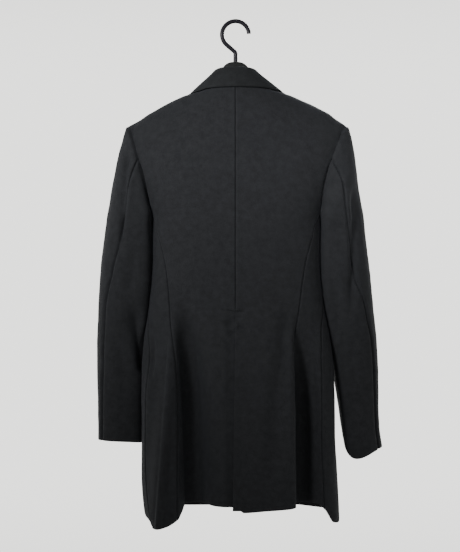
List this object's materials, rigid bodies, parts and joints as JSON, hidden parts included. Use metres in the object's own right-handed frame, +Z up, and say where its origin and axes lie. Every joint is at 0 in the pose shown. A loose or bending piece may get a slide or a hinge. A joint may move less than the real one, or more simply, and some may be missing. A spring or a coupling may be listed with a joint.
{
  "type": "fitted jacket on a hanger",
  "caption": "Long fitted single-breasted wool jacket with notched lapels and a back vent, hanging empty and open at neck, hem and cuffs on a plain hanger.",
  "frame": {"origin": "inside top of the hook's loop, where a rod or peg carries the hanger", "axes": "+Z up along the hanging jacket, +Y out of its back, +X to the wearer's left"},
  "size_m": [0.5365, 0.165, 0.9344],
  "materials": {
    "wool": "matte",
    "button": "satin",
    "hanger_plastic": "satin"
  },
  "bodies": {
    "root": {"back_left": "wool", "back_right": "wool", "side_left": "wool", "side_right": "wool", "front_left": "wool", "front_right": "wool", "upper_sleeve_left": "wool", "upper_sleeve_right": "wool", "under_sleeve_left": "wool", "under_sleeve_right": "wool", "collar": "wool", "lapel_left": "wool", "lapel_right": "wool", "button_1": "button", "button_2": "button", "button_3": "button", "hanger": "hanger_plastic", "hook": "hanger_plastic"}
  },
  "joints": []
}
